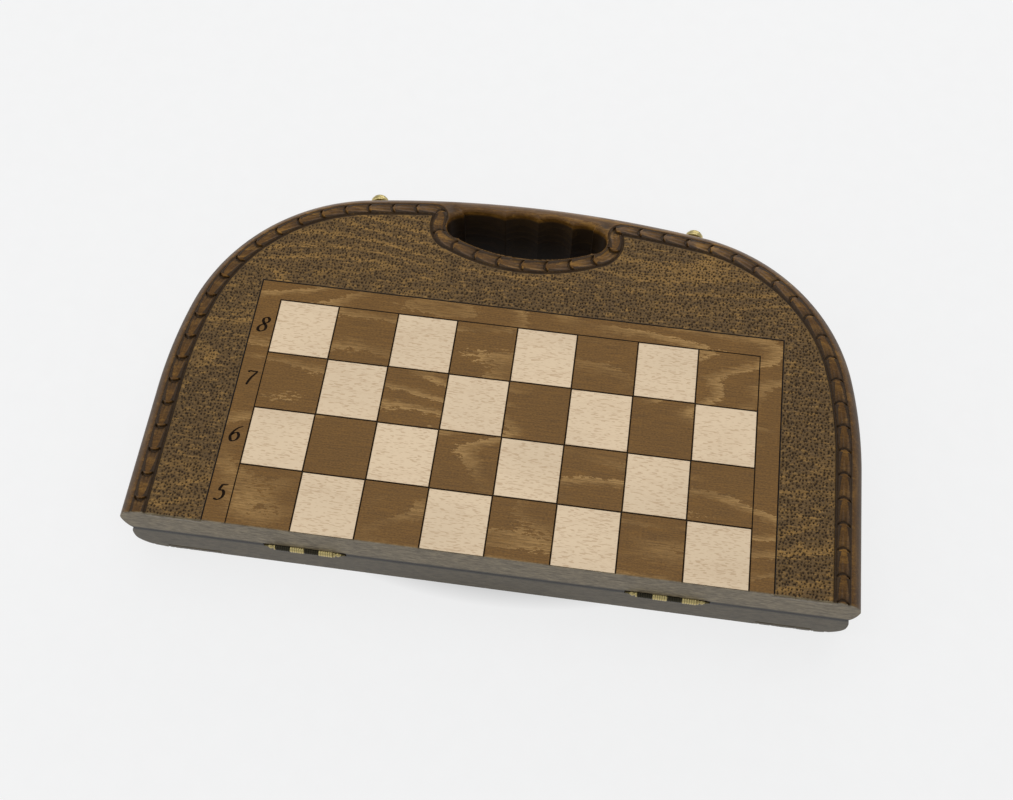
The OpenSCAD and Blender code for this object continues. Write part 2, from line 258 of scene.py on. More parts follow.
def punches(x, y):
    """(depth, darkness) of the punched ground, one mark in each cell of a jittered net; the darkness is
    painted shade in each mark.
    """
    pitch = 2.35
    nx, ny = int(CASE_W / pitch) + 6, int(CASE_D / pitch) + 6
    r = np.random.default_rng(11)
    px = r.uniform(-0.36, 0.36, (ny, nx))
    py = r.uniform(-0.36, 0.36, (ny, nx))
    size = r.uniform(0.56, 1.12, (ny, nx))
    turn = r.uniform(-0.5, 0.5, (ny, nx))
    gx, gy = (x + CASE_W / 2) / pitch + 2, y / pitch + 2
    ix, iy = np.floor(gx).astype(int), np.floor(gy).astype(int)
    depth = np.zeros(np.shape(x))
    for dj in (-1, 0, 1):
        for di in (-1, 0, 1):
            i, j = np.clip(ix + di, 0, nx - 1), np.clip(iy + dj, 0, ny - 1)
            dx = (gx - i - 0.5 - px[j, i] + 0.22 * (j % 2)) * pitch
            dy = (gy - j - 0.5 - py[j, i]) * pitch
            c, sn = np.cos(turn[j, i]), np.sin(turn[j, i])
            ux, uy = dx * c + dy * sn, -dx * sn + dy * c
            wedge = 0.62 + 0.3 * np.clip(uy / 0.9, -1, 1)
            d = (ux / (wedge * 1.15)) ** 2 + (uy / 0.95) ** 2
            depth = np.maximum(depth, np.clip(1.25 - d / size[j, i] ** 2, 0, 1))
    return 0.8 * depth, depth


def top_surface(x, y):
    """(height, darkness, nearness to the outer line) of a half's outer face outside the panel; the darkness
    is painted shade.
    """
    e = inset(x, y)
    s, v = along(x, y)
    h = from_hole(x, y)
    slope = np.clip(1 - e / BORDER_W, 0, 1)
    z = CREST_Z + (HALF_T - CREST_Z) * np.sqrt(1 - slope ** 2)
    depth, dark = cells(s, v)
    z = z - depth
    # the groove between the border and the ground, with painted shade along it
    groove = bump(v, GROOVE_V, 0.75)
    z -= 1.3 * groove
    dark = dark + 0.95 * groove
    # the hand hole's edge: softly rounded at the lip, broadly rounded under the grip bar
    bar = 1 / (1 + np.exp(-(y - END_Y - 4) / 1.5))
    radius = 1.6 + 3.4 * bar
    t = np.clip(1 - h / radius, 0, 1)
    z -= radius * (1 - np.sqrt(np.clip(1 - t * t, 0, 1)))
    # the bar's ends dip towards the carved turns, with painted shade in the dips
    for side in (-1, 1):
        d2 = ((x - HOLE_X - side * (HOLE_SPAN / 2 + 9)) / 5.5) ** 2 + ((y - 271) / 6.5) ** 2
        z -= 1.8 * np.exp(-d2)
        dark = dark + 0.6 * np.exp(-d2)
    # punched ground, with painted shade in its marks
    ground = np.clip((GROOVE_V - 0.9 - v) / 0.8, 0, 1)
    ground = ground * np.clip((np.maximum(np.abs(x) - BAND_X, y - BAND_Y) - 0.5) / 0.8, 0, 1)
    pit, shade = punches(x, y)
    z -= ground * (0.25 + pit + 0.18 * ripple(x, y, 9, 3) + 0.10 * ripple(x, y, 3.1, 4))
    dark = dark + ground * shade
    # painted shade on the top by the outer edge, fading out towards the grip bar
    dark = dark + 0.42 * bump(e, 2.0, 6.0) * np.clip((SHADE_Y - y) / SHADE_RUN, 0, 1)
    line = bump(np.maximum(np.abs(x) - BAND_X, y - BAND_Y), 0, LINE * 0.5)
    z -= 0.5 * line
    return np.minimum(z, HALF_T), np.clip(dark, 0, 1), line


# ---- mesh helpers ----

def link(name, mesh):
    obj = bpy.data.objects.new(name, mesh)
    bpy.context.scene.collection.objects.link(obj)
    return obj


def new_piece(name, verts, faces, material, body, replaced=(), smooth=True, values=None):
    """A mesh piece from points in metres in the row frame; values are float attributes per point."""
    mesh = bpy.data.meshes.new(name)
    mesh.from_pydata([tuple(p) for p in verts], [], [tuple(f) for f in faces])
    for key, data in (values or {}).items():
        mesh.attributes.new(key, "FLOAT", "POINT").data.foreach_set(
            "value", np.asarray(data, np.float32))
    bm = bmesh.new()
    bm.from_mesh(mesh)
    bmesh.ops.recalc_face_normals(bm, faces=bm.faces)
    bm.to_mesh(mesh)
    bm.free()
    mesh.polygons.foreach_set("use_smooth", [smooth] * len(mesh.polygons))
    mesh.materials.append(material)
    obj = link(name, mesh)
    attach(obj, body)
    if replaced:
        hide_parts(*replaced)
    return obj


def placed(points, half):
    """Local points in mm of a half to the row frame in metres."""
    p = np.asarray(points, float)
    sign = 1 if half == "upper" else -1
    return np.stack([p[:, 0], p[:, 1] + FRONT, PARTING + sign * p[:, 2]], 1) * MM


def grid_lines(stops, step):
    parts = [np.linspace(a, b, max(1, round((b - a) / step)) + 1) for a, b in zip(stops, stops[1:])]
    return np.unique(np.round(np.concatenate(parts), 4))


def loops_of(edges):
    """Directed boundary edges to closed loops."""
    after = {}
    for a, b in edges:
        after.setdefault(a, []).append(b)
    loops = []
    while after:
        start = next(iter(after))
        loop, at = [], start
        while at in after:
            loop.append(at)
            nexts = after[at]
            to = nexts.pop()
            if not nexts:
                del after[at]
            at = to
        loops.append(loop)
    return loops


def cut_region(xs, ys, sd):
    """Quads of the net whose middle is inside, their points snapped to the outline, and its loops."""
    X, Y = np.meshgrid(xs, ys)
    mid = sd((X[:-1, :-1] + X[1:, 1:]) / 2, (Y[:-1, :-1] + Y[1:, 1:]) / 2) < 0
    index = np.arange(X.size).reshape(X.shape)
    quads = np.stack([index[:-1, :-1], index[:-1, 1:], index[1:, 1:], index[1:, :-1]], 2)[mid]
    edges = np.concatenate([quads[:, [i, (i + 1) % 4]] for i in range(4)])
    key = edges[:, 0].astype(np.int64) * X.size + edges[:, 1]
    back = edges[:, 1].astype(np.int64) * X.size + edges[:, 0]
    border = edges[~np.isin(key, back)]
    P = np.stack([X.ravel(), Y.ravel()], 1)
    b = np.unique(border)
    for _ in range(3):
        x, y = P[b, 0], P[b, 1]
        d = sd(x, y)
        gx = (sd(x + 0.02, y) - sd(x - 0.02, y)) / 0.04
        gy = (sd(x, y + 0.02) - sd(x, y - 0.02)) / 0.04
        n2 = np.maximum(gx * gx + gy * gy, 0.2)
        move = np.clip(d / n2, -1.2 * STEP, 1.2 * STEP)
        P[b, 0] -= move * gx
        P[b, 1] -= move * gy
    used = np.unique(quads)
    remap = np.full(X.size, -1)
    remap[used] = np.arange(len(used))
    return P[used], remap[quads], loops_of(remap[border].tolist())


def skirt(verts, faces, loop, points):
    """Adds a ring of points and the quads from a loop down to it, and returns the ring."""
    ids = list(range(len(verts), len(verts) + len(loop)))
    verts += points
    n = len(loop)
    faces += [[loop[i], ids[i], ids[(i + 1) % n], loop[(i + 1) % n]] for i in range(n)]
    return ids


def close_below(verts, faces, rings):
    """Fills the lowest rings of a solid, holes and all."""
    bm = bmesh.new()
    ids = [i for ring in rings for i in ring]
    made = {i: bm.verts.new(verts[i]) for i in ids}
    edges = [bm.edges.new((made[a], made[b])) for ring in rings for a, b in zip(ring, ring[1:] + ring[:1])]
    filled = bmesh.ops.triangle_fill(bm, edges=edges, use_beauty=True)
    back = {v: i for i, v in made.items()}
    for f in filled["geom"]:
        if isinstance(f, bmesh.types.BMFace):
            faces.append([back[v] for v in f.verts])
    bm.free()


def rim_region(x, y):
    v = along(x, y)[1]
    return np.maximum.reduce([WALL_IN - inset(x, y), GROOVE_V - v, -from_hole(x, y), -y])


def ground_region(x, y):
    v = along(x, y)[1]
    in_band = np.minimum(BAND_X - np.abs(x), BAND_Y - y)
    return np.maximum.reduce([v - GROOVE_V, in_band, -y])


def wall_profile():
    """(inset, height) down the outer wall from the carved top to the parting plane."""
    start = math.acos(1 - WALL_IN / BORDER_W)
    upper = [(BORDER_W * (1 - math.cos(a)), CREST_Z + (HALF_T - CREST_Z) * math.sin(a))
             for a in np.linspace(start, 0, 9)[1:]]
    lower = [(PARTING_IN * (1 - math.cos(a)), CREST_Z - (CREST_Z - GAP) * math.sin(a))
             for a in np.linspace(0, math.pi / 2, 9)[1:]]
    return upper + lower


def face_net():
    """The lines of the net that the rim and the ground are both cut from."""
    return (grid_lines([-CASE_W / 2, -BAND_X, BAND_X, CASE_W / 2], STEP),
            grid_lines([0, BAND_Y, CASE_D], STEP))


def rim_mesh():
    """The carved border with its outer wall and the wall of the hand hole."""
    P, quads, loops = cut_region(*face_net(), rim_region)
    z, dark, _ = top_surface(P[:, 0], P[:, 1])
    verts = np.column_stack([P, z]).tolist()
    dark = dark.tolist()
    faces = quads.tolist()
    profile = wall_profile()
    rings = []
    for loop in loops:
        x, y = P[loop, 0], P[loop, 1]
        e = inset(x, y)
        outer = np.abs(e - WALL_IN) < 0.35
        nx = -(inset(x + 0.05, y) - inset(x - 0.05, y)) / 0.1
        ny = -(inset(x, y + 0.05) - inset(x, y - 0.05)) / 0.1
        ny = np.where(y < 0.01, 0, ny)
        last = loop
        top_z = np.array([verts[i][2] for i in loop])
        for k, (ek, zk) in enumerate(profile):
            out = np.where(outer, WALL_IN - ek, 0)
            t = (k + 1) / len(profile)
            zz = np.where(outer, zk, top_z + (GAP - top_z) * t)
            last = skirt(verts, faces, last, np.column_stack([x + nx * out, y + ny * out, zz]).tolist())
            # painted shade: the outer wall darker, the more so away from the grip bar, and the hand hole's
            # wall darker the deeper it goes
            by_bar = np.clip((SHADE_Y - y) / SHADE_RUN, 0, 1)
            hole_shade = np.where(from_hole(x, y) < 1.0, min(0.97, 0.55 + 2.5 * t), 0.0)
            dark += np.where(outer, 0.12 + 0.38 * by_bar, hole_shade).tolist()
        rings.append(last)
    close_below(verts, faces, rings)
    return verts, faces, dark


def ground_mesh():
    """The punched ground between the border and the band round the squares."""
    P, quads, loops = cut_region(*face_net(), ground_region)
    z, dark, line = top_surface(P[:, 0], P[:, 1])
    verts = np.column_stack([P, z]).tolist()
    dark, line, faces = dark.tolist(), line.tolist(), quads.tolist()
    rings = []
    for loop in loops:
        rings.append(skirt(verts, faces, loop, [[P[i, 0], P[i, 1], PANEL_BACK] for i in loop]))
        dark += [0.0] * len(loop)
        line += [0.0] * len(loop)
    close_below(verts, faces, rings)
    return verts, faces, dark, line


def is_light(col, row, half):
    return (col + row) % 2 == (1 if half == "upper" else 0)


def board_mesh(half):
    """The panel inside the outer line: band, dark squares, black lines and pockets for the light ones."""
    xs, ys = [-BAND_X, -BAND_X + LINE / 2], [0.0]
    for i in range(9):
        xs += [(i - 4) * SQUARE + d for d in (-LINE / 2, 0, LINE / 2)]
    for j in range(5):
        ys += [j * SQUARE + d for d in (-LINE / 2, 0, LINE / 2) if j * SQUARE + d > 0]
    xs += [BAND_X - LINE / 2, BAND_X]
    ys += [BAND_Y - LINE / 2, BAND_Y]
    deep = 0.5
    verts, faces, line = [], [], []

    def on_line(value, count, offset):
        k = round(value / SQUARE + offset)
        return 0 <= k <= count and abs(value - (k - offset) * SQUARE) < 0.01

    nx, ny = len(xs), len(ys)
    for y in ys:
        for x in xs:
            inside = abs(x) <= 4 * SQUARE + 0.01 and y <= 4 * SQUARE + 0.01
            cut = inside and (on_line(x, 8, 4) or (y > 1 and on_line(y, 4, 0)))
            cut = cut or abs(abs(x) - BAND_X) < 0.01 or abs(y - BAND_Y) < 0.01
            verts.append([x, y, HALF_T - (deep if cut else 0)])
            line.append(1.0 if cut else 0.0)
    base = len(verts)
    for y in ys:
        for x in xs:
            verts.append([x, y, PANEL_BACK])
            line.append(0.0)
    for j in range(ny - 1):
        for i in range(nx - 1):
            a = j * nx + i
            mx, my = (xs[i] + xs[i + 1]) / 2, (ys[j] + ys[j + 1]) / 2
            col, row = math.floor(mx / SQUARE + 4), math.floor(my / SQUARE)
            wide = xs[i + 1] - xs[i] > LINE and ys[j + 1] - ys[j] > LINE
            if wide and 0 <= col < 8 and row < 4 and is_light(col, row, half):
                quad = [a, a + 1, a + nx + 1, a + nx]
                n = len(verts)
                verts += [[verts[k][0], verts[k][1], HALF_T - 1.0] for k in quad]
                line += [1.0] * 4
                faces.append([n, n + 1, n + 2, n + 3])
                faces += [[quad[k], quad[(k + 1) % 4], n + (k + 1) % 4, n + k] for k in range(4)]
            else:
                faces.append([a, a + 1, a + nx + 1, a + nx])
            b = base + a
            faces.append([b, b + nx, b + nx + 1, b + 1])
    rim = ([j * nx for j in range(ny)], [j * nx + nx - 1 for j in range(ny)],
           list(range(nx)), list(range((ny - 1) * nx, ny * nx)))
    for edge in rim:
        faces += [[a, b, base + b, base + a] for a, b in zip(edge, edge[1:])]
    return verts, faces, line


def tile_mesh(half):
    """The light inlays, each with a small bevel that the black line's burnt colour runs into."""
    verts, faces, line = [], [], []
    for row in range(4):
        for col in range(8):
            if not is_light(col, row, half):
                continue
            n = len(verts)
            x0, y0 = (col - 4) * SQUARE + LINE / 2, row * SQUARE + LINE / 2
            w = SQUARE - LINE
            y_start = 0.02 if row == 0 else y0
            for inset_by, z, mark in ((0, -1.0, 1), (0, -0.22, 1), (0.22, 0, 0)):
                for cx, cy in ((0, 0), (1, 0), (1, 1), (0, 1)):
                    x = x0 + cx * w + inset_by * (1 - 2 * cx)
                    y = (y_start if cy == 0 else y0 + w) + inset_by * (1 - 2 * cy)
                    verts.append([x, y, HALF_T + z])
                    line.append(float(mark))
            for ring in (0, 4):
                faces += [[n + ring + k, n + ring + (k + 1) % 4, n + ring + 4 + (k + 1) % 4,
                           n + ring + 4 + k] for k in range(4)]
            faces += [[n + 8, n + 9, n + 10, n + 11], [n + 3, n + 2, n + 1, n]]
    return verts, faces, line


# ---- materials ----

def srgb(r, g, b):
    """A display colour from 0-255 values to linear light."""
    return [((c / 255 + 0.055) / 1.055) ** 2.4 if c > 10 else c / 255 / 12.92 for c in (r, g, b)] + [1.0]


class Nodes:
    """Short forms for building a material's nodes."""

    def __init__(self, name, **bsdf):
        self.material = bpy.data.materials.new(name)
        self.material.use_nodes = True
        self.tree = self.material.node_tree
        self.bsdf = self.tree.nodes["Principled BSDF"]
        for key, value in bsdf.items():
            self.bsdf.inputs[key.replace("_", " ")].default_value = value
        self.object = self.add("TexCoord").outputs["Object"]

    def add(self, kind, **inputs):
        node = self.tree.nodes.new("ShaderNode" + kind)
        for key, value in inputs.items():
            self.set(node.inputs[key], value)
        return node

    def set(self, socket, value):
        if isinstance(value, bpy.types.NodeSocket):
            self.tree.links.new(value, socket)
        else:
            socket.default_value = value

    def mapped(self, scale, turn=(0, 0, 0), shift=(0, 0, 0), vector=None):
        node = self.add("Mapping", Vector=vector or self.object, Scale=scale, Rotation=turn, Location=shift)
        return node.outputs["Vector"]

    def noise(self, vector, scale, detail=3.0, rough=0.55, distort=0.0):
        return self.add("TexNoise", Vector=vector, Scale=scale, Detail=detail, Roughness=rough,
                        Distortion=distort).outputs["Fac"]

    def math(self, how, a, b=0.0, c=0.0):
        node = self.tree.nodes.new("ShaderNodeMath")
        node.operation = how
        for socket, value in zip(node.inputs, (a, b, c)):
            self.set(socket, value)
        return node.outputs[0]

    def mul(self, a, b):
        return self.math("MULTIPLY", a, b)

    def plus(self, a, b):
        return self.math("ADD", a, b)

    def ramp(self, value, lo, hi, out_lo=0.0, out_hi=1.0):
        node = self.add("MapRange", Value=value)
        for key, v in (("From Min", lo), ("From Max", hi), ("To Min", out_lo), ("To Max", out_hi)):
            self.set(node.inputs[key], v)
        return node.outputs[0]

    def mix(self, fac, a, b):
        node = self.tree.nodes.new("ShaderNodeMix")
        node.data_type = "RGBA"
        for i, value in ((0, fac), (6, a), (7, b)):
            self.set(node.inputs[i], value)
        return node.outputs[2]

    def value_of(self, name):
        node = self.tree.nodes.new("ShaderNodeAttribute")
        node.attribute_name = name
        return node.outputs["Fac"]

    def finish(self, color, rough, height=None, strength=0.3, distance=0.0004):
        self.set(self.bsdf.inputs["Base Color"], color)
        self.set(self.bsdf.inputs["Roughness"], rough)
        if height is not None:
            bump_node = self.add("Bump", Height=height, Strength=strength, Distance=distance)
            self.set(self.bsdf.inputs["Normal"], bump_node.outputs["Normal"])
        return self.material


def shade(color, k):
    return [c * k for c in color[:3]] + [1]


def stretched(scale, axis):
    """A mapping scale that draws a noise out along one axis."""
    return [scale if i == axis else 1.0 for i in range(3)]


def grain(m, along_axis=0, seed=0.0):
    """(cathedral streaks, fine fibres, broad patches) of wood whose grain runs along one axis."""
    fine = m.noise(m.mapped(stretched(0.035, along_axis), shift=(seed, 0, 0)), 1400.0, 2.0, 0.6)
    field = m.noise(m.mapped(stretched(0.27, along_axis), shift=(seed, seed * 0.7, seed * 1.3)),
                    13, 1.5, 0.45)
    jag = m.noise(m.mapped(stretched(0.3, along_axis)), 560, 3.0, 0.7)
    level = m.plus(m.mul(field, 15.0), m.mul(jag, 0.75))
    rings = m.math("FRACT", level)
    patches = m.noise(m.mapped((0.5, 1, 1), shift=(seed + 3, 0, 0)), 15, 2.0)
    return m.ramp(rings, 0.0, 0.55, 1.0, 0.0), fine, patches


def stained_wood(name, carved, base, light, along_axis=0, seed=0.0, rough=0.42):
    """Brown stained beech: pale cathedral streaks, dark fibres, black burnt lines and painted shade in the
    hollows.
    """
    m = Nodes(name, Coat_Weight=0.04, Coat_Roughness=0.22, Specular_IOR_Level=0.16)
    rings, fine, patches = grain(m, along_axis, seed=seed)
    streak = m.mul(m.ramp(rings, 0.25, 1.0), m.ramp(patches, 0.44, 0.58))
    streak = m.mul(streak, m.ramp(fine, 0.36, 0.56, 0.3, 1.0))
    specks = m.noise(m.mapped(stretched(0.4, along_axis)), 1500, 2.0, 0.6)
    tone = m.plus(m.mul(fine, 0.45), m.mul(specks, 0.55))
    color = m.mix(m.ramp(tone, 0.40, 0.62), shade(base, 0.62), shade(base, 1.22))
    color = m.mix(m.mul(streak, 0.75), color, light)
    color = m.mix(m.ramp(patches, 0.3, 0.75, 0.28, 0.0), color, shade(base, 0.55))
    height = m.plus(m.mul(fine, 0.5), m.mul(rings, 0.2))
    gloss = m.ramp(fine, 0.3, 0.7, rough - 0.06, rough + 0.1)
    if carved:
        dark = m.value_of("dark")
        # painted highlight: golden glints on the carving
        painted_glints = m.noise(m.mapped((0.3, 1, 1)), 330, 4.0, 0.75)
        color = m.mix(m.ramp(painted_glints, 0.52, 0.72, 0, carved), color, light)
        # painted shade from the dark attribute, in the hollows, on the outer wall and in the hand hole
        color = m.mix(m.ramp(dark, 0.05, 0.8, 0, 0.86), color, srgb(38, 27, 15))
        gloss = m.ramp(dark, 0.0, 0.8, rough, rough + 0.25)
        height = m.plus(height, m.mul(m.noise(m.object, 900, 2.0), 0.6))
    color = m.mix(m.ramp(m.value_of("line"), 0.08, 0.4), color, srgb(20, 15, 10))
    split = m.add("SeparateXYZ", Vector=m.object)
    # the front face: a painted grey sheen, mottled lighter and darker
    nap = m.noise(m.mapped((0.35, 1, 1), (0, math.radians(28), 0)), 520, 3.0, 0.7)
    wear_and_sheen = m.plus(m.mul(fine, 0.35), m.mul(m.ramp(nap, 0.34, 0.66), 0.75))
    front = m.mix(wear_and_sheen, srgb(60, 49, 32), srgb(128, 115, 90))
    # painted shade: the lower half's front face darker than the upper's
    low = m.ramp(split.outputs["Z"], (PARTING + 1) * MM, (PARTING - 1) * MM, 0, 0.62)
    front = m.mix(low, front, srgb(48, 42, 31))
    at_front = m.ramp(split.outputs["Y"], (FRONT + 1.0) * MM, (FRONT + 0.1) * MM)
    color = m.mix(at_front, color, front)
    # painted shadow along the parting line between the halves, on the front
    seam = m.math("ABSOLUTE", m.math("SUBTRACT", split.outputs["Z"], PARTING * MM))
    by_hinges = m.ramp(split.outputs["Y"], (FRONT + 4.0) * MM, (FRONT + 2.0) * MM)
    color = m.mix(m.mul(m.ramp(seam, 0.0016, 0.0042, 0.96, 0), by_hinges), color, srgb(20, 15, 10))
    satin = m.math("SUBTRACT", 0.46, gloss)
    gloss = m.plus(gloss, m.mul(satin, at_front))
    return m.finish(color, gloss, height, 0.35, 0.0003)


def natural_wood(name, base, dark, seed=0.0, along_axis=0, fleck=1.0, rough=0.4):
    """Pale beech with its short brown flecks."""
    m = Nodes(name, Coat_Weight=0.04, Coat_Roughness=0.25, Specular_IOR_Level=0.24)
    rings, fine, patches = grain(m, along_axis, seed=seed)
    dots = m.noise(m.mapped(stretched(0.17, along_axis), shift=(seed * 2, 0.3, 0)), 1650, 0.0, 0.4)
    flecks = m.mul(m.ramp(dots, 0.6, 0.68), fleck)
    color = m.mix(m.ramp(patches, 0.35, 0.7), base, shade(base, 0.9))
    color = m.mix(m.mul(m.ramp(rings, 0.5, 0.95), 0.1), color, dark)
    color = m.mix(m.mul(flecks, 0.42), color, dark)
    color = m.mix(m.ramp(m.value_of("line"), 0.08, 0.4), color, srgb(22, 16, 10))
    return m.finish(color, m.ramp(fine, 0.3, 0.7, rough - 0.05, rough + 0.1),
                    m.math("SUBTRACT", m.mul(fine, 0.4), flecks), 0.25, 0.0002)


def brass(name, color, patina, rough, scale=900.0, black=0.5):
    """Antiqued brass: bright where it rubs, dark in the patches that don't."""
    m = Nodes(name, Metallic=1.0)
    spots = m.noise(m.object, scale, 3.0, 0.65)
    scratches = m.noise(m.mapped((0.1, 1, 1)), scale * 2.2, 2.0, 0.7)
    edge = m.add("NewGeometry").outputs["Pointiness"]
    wear_and_sheen = m.ramp(edge, 0.49, 0.56)
    dull = m.mul(m.ramp(spots, 0.42, 0.62), black)
    dull = m.mul(dull, m.math("SUBTRACT", 1.0, m.mul(wear_and_sheen, 0.7)))
    tone = m.mix(m.math("MAXIMUM", dull, m.value_of("dark")), color, patina)
    return m.finish(tone, m.ramp(spots, 0.3, 0.7, rough - 0.08, rough + 0.15),
                    m.plus(spots, m.mul(scratches, 0.4)), 0.22, 0.0001)


def felt(name, color, pale):
    m = Nodes(name, Sheen_Weight=0.6, Sheen_Roughness=0.5, Specular_IOR_Level=0.15)
    nap = m.noise(m.object, 1600, 4.0, 0.75)
    clumps = m.noise(m.object, 140, 3.0, 0.6)
    tone = m.mix(m.mul(m.ramp(nap, 0.35, 0.75), 0.5), color, pale)
    tone = m.mix(m.ramp(clumps, 0.4, 0.7, 0, 0.25), tone, shade(color, 0.5))
    return m.finish(tone, m.ramp(nap, 0.2, 0.8, 0.85, 1.0), nap, 0.7, 0.0006)


def burnt(name, color, pale):
    m = Nodes(name, Specular_IOR_Level=0.04)
    return m.finish(m.mix(m.ramp(m.noise(m.object, 1800, 2.0), 0.3, 0.7), color, pale), 0.9)


MAT_CARVED = stained_wood("carved_beech", 0.45, srgb(92, 62, 24), srgb(160, 116, 50), rough=0.3)
MAT_GROUND = stained_wood("punched_beech", 0.75, srgb(98, 74, 40), srgb(166, 126, 64), rough=0.46)
MAT_BOARD = stained_wood("board_beech", 0.0, srgb(116, 82, 36), srgb(184, 146, 90), seed=1.7)
MAT_RAIL = stained_wood("rail_beech", 0.0, srgb(98, 72, 40), srgb(140, 108, 66), rough=0.45)
MAT_LIGHT = natural_wood("light_beech", srgb(217, 193, 160), srgb(160, 124, 86), seed=0.6)
MAT_INK = burnt("burnt_black", srgb(14, 10, 7), srgb(36, 27, 18))
MAT_BRASS = brass("aged_brass", srgb(196, 178, 122), srgb(62, 55, 34), 0.32)
MAT_BLACK_BRASS = brass("blackened_brass", srgb(58, 54, 42), srgb(18, 17, 15), 0.42, black=0.8)
MAT_FELT = felt("green_felt", srgb(24, 66, 42), srgb(70, 118, 84))


# ---- the two wooden halves ----

RIM = rim_mesh()
GROUND = ground_mesh()

for half in ("upper", "lower"):
    body = half + "_half"
    verts, faces, dark = RIM
    rim = new_piece(half + "_carved_rim", placed(verts, half), faces, MAT_CARVED, body,
                    [half + "_frame"], values={"dark": dark})
    rim.data.set_sharp_from_angle(angle=math.radians(62))
    verts, faces, dark, line = GROUND
    new_piece(half + "_punched_ground", placed(verts, half), faces, MAT_GROUND, body,
              [half + "_board"], values={"dark": dark, "line": line})
    verts, faces, line = board_mesh(half)
    new_piece(half + "_board_field", placed(verts, half), faces, MAT_BOARD, body,
              [half + "_board"], smooth=False, values={"line": line})
    verts, faces, line = tile_mesh(half)
    new_piece(half + "_light_inlays", placed(verts, half), faces, MAT_LIGHT, body,
              [half + "_light_squares"], smooth=False, values={"line": line})


# ---- rails, numerals and hardware ----

HINGE_X = 125.0
HINGE_L = 40.0
AXIS_Y = -0.2
BARREL_R = 2.8      # the notch that clears a knuckle
NUMERAL_X = -182.0
LATCH_X, LATCH_Z = 122, 13


def rail_mesh():
    """The hinge-side rail, with the notches of the barrels and the mortises of the leaves."""
    arc = np.radians(np.linspace(0, 90, 9))
    down = [(16.0, GAP), (12.2, GAP)]

    def section(kind):
        if kind == "plain":
            t = np.linspace(0, 1, 9)
            corner = [(1.2 * max(0.0, 1 - 2 * k), GAP + max(0.0, 2 * k - 1) * 2.6) for k in t]
            low = GAP
        else:
            low = 1.4 if kind == "mortise" else GAP
            start = math.asin(low / BARREL_R)
            corner = [(AXIS_Y + BARREL_R * math.cos(a), BARREL_R * math.sin(a))
                      for a in start + arc / (math.pi / 2) * (math.acos(-AXIS_Y / BARREL_R) - start)]
            corner[-1] = (0.0, corner[-1][1])
        return down + [(12.2, low)] + corner + [(0.0, PANEL_BACK - 0.02), (16.0, PANEL_BACK - 0.02)]

    stations = [(-229.2, "plain")]
    for s in (-1, 1):
        for at, before, after in ((-29.0, "plain", "notch"), (-20.2, "notch", "mortise"),
                                  (20.2, "mortise", "notch"), (29.0, "notch", "plain")):
            stations += [(s * HINGE_X + at, before), (s * HINGE_X + at, after)]
    stations.append((229.2, "plain"))
    verts, faces = [], []
    for x, kind in stations:
        verts += [(x, y, z) for y, z in section(kind)]
    n = len(section("plain"))
    for k in range(len(stations) - 1):
        for i in range(n):
            a, b = k * n + i, k * n + (i + 1) % n
            faces.append([a, b, b + n, a + n])
    last = (len(stations) - 1) * n
    return verts, faces + [list(range(n)), list(range(last, last + n))]


def lathe(profile, turns=40, hollow=False):
    """A solid of revolution about Z from (radius, height); radius 0 makes a pole.

    A hollow one's profile is a closed outline clear of the axis.
    """
    verts, faces, rings = [], [], []
    for r, z in profile:
        if r < 1e-6:
            rings.append([len(verts)])
            verts.append((0, 0, z))
        else:
            rings.append(list(range(len(verts), len(verts) + turns)))
            verts += [(r * math.cos(a), r * math.sin(a), z) for a in np.arange(turns) * 2 * math.pi / turns]
    for lo, hi in zip(rings, rings[1:] + (rings[:1] if hollow else [])):
        for i in range(turns):
            j = (i + 1) % turns
            if len(lo) == 1:
                faces.append([lo[0], hi[i], hi[j]])
            elif len(hi) == 1:
                faces.append([lo[i], lo[j], hi[0]])
            else:
                faces.append([lo[i], lo[j], hi[j], hi[i]])
    if not hollow:
        faces += [ring for ring in (rings[0][::-1], rings[-1]) if len(ring) > 1]
    return verts, faces


def moved(verts, frame):
    """Points in mm through a frame whose columns are x, y, z and place, to metres."""
    return (np.asarray(verts, float) @ frame[:, :3].T + frame[:, 3]) * MM


def axes(x, y, z, place):
    return np.column_stack([x, y, z, place]).astype(float)


def smooth_by_angle(obj, angle=35):
    """Sharp edges where two faces meet at more than the angle."""
    obj.data.shade_smooth()
    obj.data.set_sharp_from_angle(angle=math.radians(angle))
    return obj


def carry(node, material, width=0.0):
    """Shows a CAD node as it is, with a fine bevel and its material."""
    obj = frame["nodes"][node]
    obj.data.materials.clear()
    obj.data.materials.append(material)
    if width:
        mod = obj.modifiers.new("soft_edges", "BEVEL")
        mod.width, mod.segments, mod.angle_limit = width * MM, 2, math.radians(50)
        mod.harden_normals = False
    return obj


